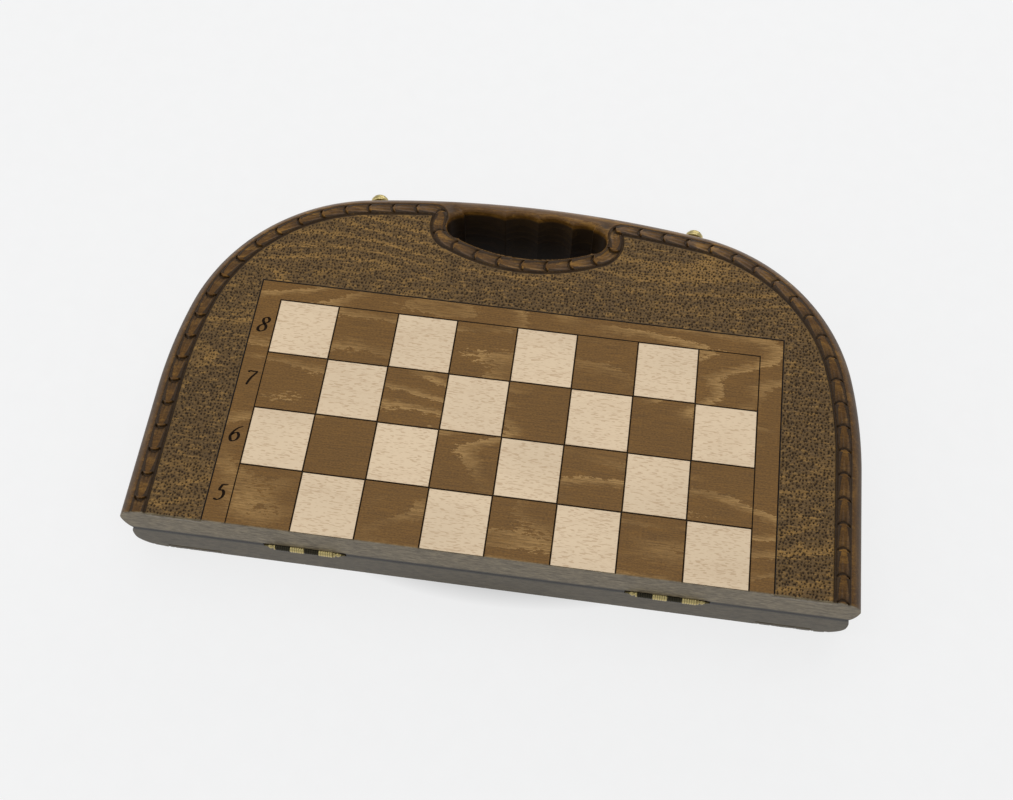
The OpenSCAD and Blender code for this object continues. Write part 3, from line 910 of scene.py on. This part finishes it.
# Strokes of the rank numerals: each is a curve through points in an upright unit box
DIGITS = {
    "1": [[(0.10, 0.84), (0.26, 0.92), (0.36, 1.0)], [(0.36, 1.0), (0.31, 0.5), (0.27, 0.0)]],
    "2": [[(0.08, 0.78), (0.18, 0.95), (0.38, 1.0), (0.52, 0.84), (0.44, 0.58), (0.24, 0.30), (0.02, 0.03)],
          [(0.02, 0.03), (0.28, 0.05), (0.54, 0.03)]],
    "3": [[(0.10, 0.86), (0.24, 0.99), (0.44, 0.96), (0.50, 0.78), (0.38, 0.60), (0.22, 0.54)],
          [(0.22, 0.54), (0.42, 0.48), (0.50, 0.28), (0.40, 0.08), (0.20, -0.01), (0.00, 0.08)]],
    "4": [[(0.44, 1.0), (0.24, 0.66), (0.00, 0.30)], [(0.00, 0.30), (0.28, 0.30), (0.56, 0.30)],
          [(0.46, 1.0), (0.41, 0.5), (0.36, 0.0)]],
    "5": [[(0.58, 0.99), (0.42, 0.96), (0.26, 0.97)], [(0.26, 0.97), (0.20, 0.78), (0.15, 0.58)],
          [(0.15, 0.58), (0.36, 0.60), (0.48, 0.42), (0.44, 0.16), (0.24, 0.00), (0.00, 0.05)]],
    "6": [[(0.58, 1.0), (0.34, 0.88), (0.12, 0.60), (0.03, 0.30), (0.12, 0.05), (0.28, 0.00), (0.46, 0.14),
           (0.50, 0.38), (0.38, 0.55), (0.22, 0.53), (0.08, 0.38)]],
    "7": [[(0.10, 0.86), (0.14, 0.96), (0.36, 0.95), (0.62, 0.97)],
          [(0.62, 0.97), (0.34, 0.50), (0.20, 0.0)]],
    "8": [[(0.32, 0.54), (0.50, 0.68), (0.54, 0.86), (0.40, 1.0), (0.22, 0.94), (0.18, 0.76), (0.30, 0.57),
           (0.46, 0.38), (0.46, 0.14), (0.26, -0.01), (0.06, 0.08), (0.04, 0.28),
           (0.16, 0.44), (0.32, 0.54)]],
}


def spline(points, n=9):
    p = np.array([points[0]] + list(points) + [points[-1]], float)
    out = []
    for a, b, c, d in zip(p, p[1:], p[2:], p[3:]):
        for t in np.arange(n) / n:
            out.append(0.5 * (2 * b + (c - a) * t + (2 * a - 5 * b + 4 * c - d) * t ** 2
                              + (3 * b - a - 3 * c + d) * t ** 3))
    return np.array(out + [p[-1]])


def numeral_mesh(text, middle, up, height=11.5, width=12.0):
    """Broad-pen strokes, thick where they run down and thin where they run across."""
    verts, faces = [], []
    for k, stroke in enumerate(DIGITS[text]):
        p = spline(stroke)
        p = np.column_stack([p[:, 0] + 0.10 * (p[:, 1] - 0.5) - 0.28, p[:, 1] - 0.5]) * (width, height)
        t = np.gradient(p, axis=0)
        t /= np.linalg.norm(t, axis=1)[:, None] + 1e-9
        pen = np.array([math.cos(0.30), math.sin(0.30)])
        half = 0.42 + 0.88 * np.abs(t[:, 0] * pen[1] - t[:, 1] * pen[0]) ** 1.4
        half *= np.clip(np.minimum(np.arange(len(p)), np.arange(len(p))[::-1]) / 3 + 0.45, 0, 1)
        side = np.column_stack([-t[:, 1], t[:, 0]]) * half[:, None] * 0.82
        base, n = len(verts), len(p)
        for z in (HALF_T - 0.2, HALF_T + 0.03 + 0.004 * k):
            for q in (p - side, p + side):
                verts += [(middle[0] + u, middle[1] + up * v, z) for u, v in q]
        for i in range(n - 1):
            a, b, c, d = (base + m * n + i for m in range(4))
            faces += [[a, b, b + 1, a + 1], [c, c + 1, d + 1, d], [a, a + 1, c + 1, c], [b, d, d + 1, b + 1]]
        faces += [[base + m * n + i for m in (0, 2, 3, 1)] for i in (0, n - 1)]
    return verts, faces


for half in ("upper", "lower"):
    body = half + "_half"
    verts, faces = rail_mesh()
    smooth_by_angle(new_piece(half + "_hinge_rail", placed(verts, half), faces, MAT_RAIL, body,
                              [half + "_frame"]))
    for row in range(4):
        rank = str(5 + row if half == "upper" else 4 - row)
        up = 1 if half == "upper" else -1
        verts, faces = numeral_mesh(rank, (NUMERAL_X, (row + 0.5) * SQUARE), up)
        new_piece(f"{half}_numeral_{rank}", placed(verts, half), faces, MAT_INK, body,
                  [half + "_board"], smooth=False)

# Ribbed sleeves on the knuckles: the upper leaves' are bright, the lower leaves' dark
for side, sx in (("left", -1), ("right", 1)):
    for half, first, metal in (("lower", 0, MAT_BLACK_BRASS), ("upper", 1, MAT_BRASS)):
        carry(f"{side}_{half}_leaf", metal, 0.15)
        for i in (first, first + 2):
            profile = [(2.3, 0.15)]
            ribs = 6
            for k in range(ribs):
                z0, dz = 0.3 + k * 9.4 / ribs, 9.4 / ribs
                profile += [(2.5, z0), (2.72, z0 + dz * 0.22), (2.75, z0 + dz * 0.5), (2.72, z0 + dz * 0.78),
                            (2.5, z0 + dz)]
            profile += [(2.3, 9.85)]
            verts, faces = lathe(profile, 28, hollow=True)
            grooves = [0.95 if r < 2.6 else 0.0 for r, _ in profile for _ in range(28)]
            place = (sx * HINGE_X - HINGE_L / 2 + 10 * i, FRONT + AXIS_Y, PARTING)
            obj = new_piece(f"{side}_{half}_knuckle_{i + 1}",
                            moved(verts, axes((0, 1, 0), (0, 0, 1), (1, 0, 0), place)), faces, metal,
                            half + "_half", values={"dark": grooves})
            smooth_by_angle(obj, 50)
    profile = [(0, -28.5), (0.45, -28.2), (0.7, -27.2), (0.9, -26.4), (1.3, -26.1), (1.35, -25.7),
               (0.95, -25.3), (0.95, -25.0), (1.6, -24.5), (1.9, -23.6), (1.6, -22.6), (1.2, -22.1),
               (1.3, -21.7), (2.2, -21.4), (2.4, -20.8), (2.2, -20.25), (1.2, -20.1)]
    profile += [(r, -z) for r, z in profile[::-1]]
    verts, faces = lathe(profile, 28)
    tips = [0.9 if abs(v[2]) > 25.5 else 0.25 for v in verts]
    place = (sx * HINGE_X, FRONT + AXIS_Y, PARTING)
    new_piece(f"{side}_hinge_pin_turned", moved(verts, axes((0, 1, 0), (0, 0, 1), (1, 0, 0), place)), faces,
              MAT_BRASS, "lower_half", [f"{side}_hinge_pin"], values={"dark": tips})
for half in ("lower", "upper"):
    carry(half + "_hinge_screws", MAT_BRASS, 0.08)


def latch_frame(sx, z):
    """A frame on the back wall whose third axis points out of it."""
    turn = math.asin(LATCH_X / CROWN_R)
    out = np.array([sx * math.sin(turn), math.cos(turn), 0])
    y = FRONT + CROWN_C[1] + CROWN_R * math.cos(turn)
    up = np.array([0, 0, 1.0])
    return axes(np.cross(up, out), up, out, (sx * LATCH_X, y, PARTING + z))


KNOB = [(0, 5.82), (1.88, 5.8), (1.88, 3.1), (2.9, 3.1), (2.9, 3.5), (4.4, 3.35), (6.0, 3.5), (6.5, 4.0),
        (6.6, 4.8), (6.6, 6.2), (6.4, 6.9), (5.9, 7.2), (5.5, 7.4), (5.6, 7.8), (5.1, 8.6), (4.1, 9.4),
        (2.8, 10.05), (1.4, 10.4), (0, 10.5)]


def rose(r):
    return [(0, -11), (1.8, -11), (1.8, -1.2), (r, -1.2), (r, 0.3), (r - 0.2, 0.6), (r - 0.8, 0.75),
            (r - 1.3, 0.5), (r - 1.8, 0.5), (2.6, 0.78), (1.8, 0.8)]


POST = rose(7) + [(1.8, 5.4), (1.6, 5.6), (0, 5.6)]
KEEPER = rose(5) + [(2, 0.85), (2, 3.5), (3.4, 3.5), (3.6, 3.8), (3.6, 4.3), (3.2, 4.7), (0, 4.8)]
for side, sx in (("left", -1), ("right", 1)):
    for name, profile, z, body in (("latch_post", POST, LATCH_Z, "upper_half"),
                                   ("keeper", KEEPER, -LATCH_Z, "lower_half"),
                                   ("knob", KNOB, LATCH_Z, side + "_latch")):
        verts, faces = lathe(profile, 40)
        obj = new_piece(f"{side}_{name}_turned", moved(verts, latch_frame(sx, z)), faces, MAT_BRASS, body,
                        [f"{side}_{name}"])
        smooth_by_angle(obj, 50)
    carry(side + "_hook", MAT_BRASS, 0.35)


# ---- inside: tray and lining ----

def cavity_region(x, y):
    return np.maximum.reduce([25.0 - inset(x, y), 17.0 - from_hole(x, y), 17.0 - y])


def slab_mesh(region, top, bottom, step):
    """A closed slab whose upper surface is top(x, y)."""
    xs = grid_lines([-CASE_W / 2, CASE_W / 2], step)
    ys = grid_lines([0, CASE_D], step)
    P, quads, loops = cut_region(xs, ys, region)
    verts = np.column_stack([P, top(P[:, 0], P[:, 1])]).tolist()
    faces, rings = quads.tolist(), []
    for loop in loops:
        rings.append(skirt(verts, faces, loop, [[P[i, 0], P[i, 1], bottom] for i in loop]))
    close_below(verts, faces, rings)
    return verts, faces


# One side's men in the tray: name, kind, x, y, turned to lie along X
STORE = [(f"pawn_{i + 1}", "pawn", 6 + 27 * (i + 0.5), 23, False) for i in range(8)]
STORE += [(f"{kind}_{i + 1}", kind, 6 + 30 * (2 * k + i + 0.5), 77, False)
          for k, kind in enumerate(("rook", "knight", "bishop")) for i in range(2)]
STORE += [("king", "king", 11, 166, True), ("queen", "queen", 99, 166, True)]
SIZES = {"pawn": (12, 44), "rook": (13, 48), "knight": (13, 58), "bishop": (13, 64), "queen": (14, 72),
         "king": (15, 80)}
MEN_Z = 22.2            # height of a lying man's axis above the table
TRAY_BASE, TRAY_TOP = 6.02, 20.0
POCKET_GAP = 0.7


def tray_top(x, y):
    """Height above the table's plane of the flocked tray, with its half-round pockets."""
    z = np.full(x.shape, TRAY_TOP)
    for _, kind, px, py, turned in STORE:
        r, h = SIZES[kind]
        for s in (-1, 1):
            cross, lengthways = (y - py, s * x - px) if turned else (x - s * px, y - py)
            inside = ((lengthways > -POCKET_GAP) & (lengthways < h + POCKET_GAP)
                      & (np.abs(cross) < r + POCKET_GAP))
            floor = MEN_Z - np.sqrt(np.maximum((r + POCKET_GAP) ** 2 - cross ** 2, 0))
            z = np.where(inside, np.minimum(z, floor), z)
    return z


verts, faces = slab_mesh(cavity_region, tray_top, TRAY_BASE, 1.0)
verts = [(x * MM, (y + FRONT) * MM, z * MM) for x, y, z in verts]
tray = new_piece("flocked_tray", verts, faces, MAT_FELT, "lower_half", ["lower_tray"])
smooth_by_angle(tray, 40)

verts, faces = slab_mesh(cavity_region, lambda x, y: np.full(x.shape, 28.98), 28.0, 4.0)
lining = new_piece("felt_lining", placed(verts, "upper"), faces, MAT_FELT, "upper_half",
                   ["upper_lining"], smooth=False)


# ---- chessmen ----

def stem(r0, z0, r1, z1):
    t = np.linspace(0, 1, 12)
    return [(r1 + (r0 - r1) * (1 - k) ** 2.2, z0 + (z1 - z0) * k) for k in t]


def foot(r):
    return [(0, 0.4), (r - 3, 0.4), (r - 2.4, 0.0), (r - 0.4, 0.05), (r, 0.5), (r, 2.1), (r - 0.25, 2.6),
            (r - 0.8, 3.2), (r - 0.9, 3.9), (r - 0.7, 4.3), (r - 1.0, 5.0), (r - 2.0, 5.6), (r - 3.2, 6.0)]


def turned(r, neck, top):
    return (foot(r) + stem(r - 3.4, 6.4, neck, top - 3.2)
            + [(neck + 1.4, top - 2.9), (neck + 2.6, top - 2.5), (neck + 2.8, top - 2.0),
               (neck + 2.6, top - 1.5), (neck + 1.2, top - 0.9), (neck, top)])


def ball(z, r, start, end, n=14, stretch=1.0):
    return [(max(r * math.cos(a), 0), z + stretch * r * math.sin(a))
            for a in np.radians(np.linspace(start, end, n))]


PROFILES = {
    "pawn": turned(12, 4, 29) + ball(37, 7, -60, 90),
    "rook": turned(13, 6.4, 34) + [(6.6, 35.6), (7, 37), (8.6, 38.2), (9.5, 39.4), (9.8, 40.4), (9.8, 47.5),
                                   (9.3, 48), (7.1, 48), (6.6, 47.5), (6.6, 44.3), (6.2, 44), (0, 44)],
    "bishop": turned(13, 4.6, 42) + [(7.2 * math.cos(a), 51.5 + 9 * math.sin(a))
                                     for a in np.radians(np.linspace(-55, 74, 16))] + ball(62, 2, -50, 90, 8),
    "queen": turned(14, 5, 46) + [(5, 48), (6.2, 53), (8.0, 59), (9.4, 62), (9.2, 63), (7.6, 63.4)]
    + ball(61.5, 6.4, 20, 62, 6) + ball(69.3, 2.7, -40, 90, 10),
    "king": turned(15, 5.4, 50) + [(5.4, 52), (6.8, 57), (8.8, 62), (9.8, 65), (9.6, 66.4), (8.6, 67)]
    + ball(63.5, 7.6, 30, 70, 6) + [(1.6, 71.3), (0, 71.5)],
    "knight": foot(13) + stem(9.6, 6.4, 8.6, 14) + [(9.6, 14.5), (10, 15.2), (10, 16.0), (9.4, 16.4),
                                                    (0, 16.4)],
}


def cut_boxes(obj, cutters):
    """Takes boxes or balls out of a turned man; each cutter is (kind, size, 4x4 place) in mm."""
    for kind, size, place in cutters:
        bm = bmesh.new()
        if kind == "box":
            bmesh.ops.create_cube(bm, size=1)
            bmesh.ops.scale(bm, vec=size, verts=bm.verts)
        else:
            bmesh.ops.create_icosphere(bm, subdivisions=3, radius=size)
        bmesh.ops.transform(bm, matrix=place, verts=bm.verts)
        mesh = bpy.data.meshes.new("cutter")
        bm.to_mesh(mesh)
        bm.free()
        cutter = link("cutter", mesh)
        mod = obj.modifiers.new("cut", "BOOLEAN")
        mod.operation, mod.object, mod.solver = "DIFFERENCE", cutter, "EXACT"
        evaluated = obj.evaluated_get(bpy.context.evaluated_depsgraph_get())
        result = bpy.data.meshes.new_from_object(evaluated)
        obj.modifiers.clear()
        obj.data = result
        bpy.data.objects.remove(cutter)


def box_part(size, place, round_by=0.6):
    bm = bmesh.new()
    bmesh.ops.create_cube(bm, size=1)
    bmesh.ops.scale(bm, vec=size, verts=bm.verts)
    bmesh.ops.bevel(bm, geom=bm.edges[:], offset=round_by, segments=2, affect="EDGES")
    bmesh.ops.translate(bm, vec=place, verts=bm.verts)
    return bm


# Cross-sections of a horse's head, up its neck and along its muzzle:
# (x and z of the middle, half depth in x, half width in y)
NECK = [(-0.6, 16.2, 8.2, 4.5), (-0.9, 20, 7.8, 4.4), (-1.5, 25, 7.2, 4.1), (-2.2, 30, 6.6, 3.9),
        (-2.7, 35, 6.3, 3.8), (-2.5, 40, 6.2, 3.8), (-1.8, 44.5, 5.8, 3.8), (-0.6, 48.5, 4.6, 3.6),
        (0.4, 51.4, 2.6, 2.6)]
HEAD = [(-1.0, 44.5, 6.2, 4.0), (2.2, 43.6, 5.9, 4.2), (4.8, 41.8, 5.2, 4.0), (7.0, 39.4, 4.4, 3.5),
        (9.0, 37.0, 3.6, 3.1), (10.6, 35.4, 2.9, 2.8), (11.3, 34.8, 1.6, 1.9)]


def skin(bm, rings, tilt, n=20):
    """Lofts ellipses into a closed form; tilt turns each ring in the XZ plane."""
    loops = []
    for (x, z, a, b), t in zip(rings, tilt):
        c, s = math.cos(t), math.sin(t)
        loops.append([bm.verts.new((x + a * math.cos(u) * c, b * math.sin(u), z + a * math.cos(u) * s))
                      for u in np.arange(n) * 2 * math.pi / n])
    for lo, hi in zip(loops, loops[1:]):
        for i in range(n):
            bm.faces.new((lo[i], lo[(i + 1) % n], hi[(i + 1) % n], hi[i]))
    bm.faces.new(loops[0][::-1])
    bm.faces.new(loops[-1])


def knight_head():
    """Neck, muzzle, ears, eyes, nostrils and a crest of mane, as closed forms in one mesh."""
    bm = bmesh.new()
    skin(bm, NECK, [0.0, 0.02, 0.05, 0.08, 0.05, 0.0, -0.1, -0.2, -0.3])
    skin(bm, HEAD, [1.2, 1.0, 0.85, 0.75, 0.72, 0.7, 0.7])
    for s in (-1, 1):
        ear = [(-1.6, 49.5, 1.6, 1.1), (-1.2, 52.5, 1.4, 0.9), (-0.8, 55.5, 0.9, 0.6), (-0.5, 57.8, 0.2, 0.2)]
        skin(bm, ear, [0.2, 0.15, 0.1, 0.0], 10)
        for v in bm.verts[-40:]:
            v.co.y += s * 2.0
        for x, z, r, out in ((3.4, 45.0, 1.15, 3.4), (9.6, 36.8, 0.7, 2.5)):
            made = bmesh.ops.create_icosphere(bm, subdivisions=2, radius=r)
            bmesh.ops.translate(bm, vec=(x, s * out, z), verts=made["verts"])
    for k in range(9):
        t = k / 8
        x, z = -8.1 + 3.0 * t ** 2 + 0.5 * math.sin(3 * t), 21 + 28 * t
        made = bmesh.ops.create_icosphere(bm, subdivisions=2, radius=1.0)
        bmesh.ops.scale(bm, vec=(1.7, 1.9, 2.3), verts=made["verts"])
        bmesh.ops.rotate(bm, cent=(0, 0, 0), matrix=Matrix.Rotation(0.5, 3, "Y"), verts=made["verts"])
        bmesh.ops.translate(bm, vec=(x, 0, z), verts=made["verts"])
    return bm


def add_parts(obj, parts):
    """Joins extra closed forms into a man's mesh."""
    bm = bmesh.new()
    bm.from_mesh(obj.data)
    for part in parts:
        mesh = bpy.data.meshes.new("part")
        part.to_mesh(mesh)
        part.free()
        bm.from_mesh(mesh)
        bpy.data.meshes.remove(mesh)
    bmesh.ops.recalc_face_normals(bm, faces=bm.faces)
    bm.to_mesh(obj.data)
    bm.free()


def master_man(kind):
    """One man standing at the origin, in mm, as a mesh without a material."""
    verts, faces = lathe(PROFILES[kind], 56)
    mesh = bpy.data.meshes.new(kind)
    mesh.from_pydata(verts, [], faces)
    obj = link(kind + "_master", mesh)
    if kind == "rook":
        cut_boxes(obj, [("box", (24, 3.2, 5), Matrix.Rotation(math.radians(a), 4, "Z")
                         @ Matrix.Translation((0, 0, 47))) for a in (0, 60, 120)])
    if kind == "bishop":
        place = Matrix.Translation((3.5, 0, 53)) @ Matrix.Rotation(math.radians(35), 4, "Y")
        cut_boxes(obj, [("box", (1.4, 16, 10), place @ Matrix.Translation((0.7, 0, 5)))])
    if kind == "queen":
        cut_boxes(obj, [("ball", 2.4, Matrix.Rotation(math.radians(a), 4, "Z")
                         @ Matrix.Translation((10.4, 0, 64))) for a in range(0, 360, 45)])
    if kind == "king":
        add_parts(obj, [box_part((3, 3, 10), (0, 0, 75)), box_part((8.4, 3, 3), (0, 0, 75.1))])
    if kind == "knight":
        add_parts(obj, [knight_head()])
    mesh = obj.data
    bpy.data.objects.remove(obj)
    return mesh


MAT_LIGHT_MEN = natural_wood("light_turned_wood", srgb(206, 168, 116), srgb(150, 104, 58), 2.2, 2, 0.5, 0.28)
MAT_DARK_MEN = stained_wood("dark_turned_wood", 0.0, srgb(70, 40, 24), srgb(112, 68, 40), 2, 5.3, 0.26)
MASTERS = {kind: master_man(kind) for kind in SIZES}

for colour, s, material in (("light", -1, MAT_LIGHT_MEN), ("dark", 1, MAT_DARK_MEN)):
    for name, kind, x, y, lying in STORE:
        if lying:
            turn = Matrix.Rotation(math.radians(s * 90), 4, "Y")
        else:
            turn = Matrix.Rotation(math.radians(-90), 4, "X")
        place = Matrix.Translation((s * x, FRONT + y, MEN_Z)) @ turn
        mesh = MASTERS[kind].copy()
        mesh.transform(Matrix.Scale(MM, 4) @ place)
        mesh.materials.clear()
        mesh.materials.append(material)
        obj = link(f"{colour}_{name}_man", mesh)
        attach(obj, "lower_half")
        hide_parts(f"{colour}_{name}")
        smooth_by_angle(obj, 38)


# ---- floor, light and camera ----

FLOOR_Z = -0.0004       # a little below the case, so that their faces don't coincide


def stage():
    size = 6.0
    mesh = bpy.data.meshes.new("floor")
    corners = [(-size, -size), (size, -size), (size, size), (-size, size)]
    mesh.from_pydata([(x, y, FLOOR_Z) for x, y in corners], [], [(0, 1, 2, 3)])
    floor = link("floor", mesh)
    m = Nodes("floor_paper", Roughness=0.9, Specular_IOR_Level=0.1)
    speck = m.noise(m.object, 60, 2.0)
    # the floor glows evenly, except in an oval under the case where it stays dark: a painted shadow under the
    # case, seen through the hand hole
    under = m.add("VectorMath", Vector=m.mapped((4.2, 6.4, 0)))
    under.operation = "LENGTH"
    mesh.materials.append(m.finish(m.mix(speck, (0.11, 0.11, 0.11, 1), (0.13, 0.13, 0.13, 1)), 0.9))
    m.bsdf.inputs["Emission Color"].default_value = (1, 1, 1, 1)
    m.set(m.bsdf.inputs["Emission Strength"], m.ramp(under.outputs["Value"], 0.7, 1.0, 0.0, 0.775))


def area_light(name, place, target, size, power, color=(1, 1, 1)):
    data = bpy.data.lights.new(name, "AREA")
    data.shape, data.size, data.size_y = "RECTANGLE", size[0], size[1]
    data.energy, data.color = power, color
    obj = link(name, data)
    obj.location = place
    obj.rotation_euler = (Vector(target) - Vector(place)).to_track_quat("-Z", "Y").to_euler()


def light_and_camera():
    world = bpy.data.worlds.new("studio")
    bpy.context.scene.world = world
    world.use_nodes = True
    world.node_tree.nodes["Background"].inputs["Color"].default_value = (0.93, 0.96, 1.0, 1)
    world.node_tree.nodes["Background"].inputs["Strength"].default_value = 0.62
    area_light("sky_panel", (0.0, 0.3, 1.6), (0, 0, 0), (1.6, 1.2), 8)
    area_light("left_panel", (-1.3, -0.3, 0.9), (0, 0, 0.03), (1.0, 1.2), 5, (0.96, 0.98, 1.0))
    area_light("back_panel", (0.3, 1.3, 0.7), (0, 0.05, 0.03), (1.4, 0.5), 5)
    data = bpy.data.cameras.new("camera")
    data.sensor_width, data.lens = 36.0, 42.24
    data.clip_start, data.clip_end = 0.02, 30.0
    camera = link("camera", data)
    right = Vector((0.99098809, 0.13394614, 0.00102007))
    down = Vector((0.12103217, -0.89213052, -0.43526354))
    ahead = right.cross(down)
    turn = Matrix((right, -down, -ahead)).transposed().to_4x4()
    camera.matrix_world = Matrix.Translation((0.0473, -0.3863, 0.8178)) @ turn
    bpy.context.scene.camera = camera
    bpy.context.scene.view_settings.view_transform = "Standard"


stage()
light_and_camera()
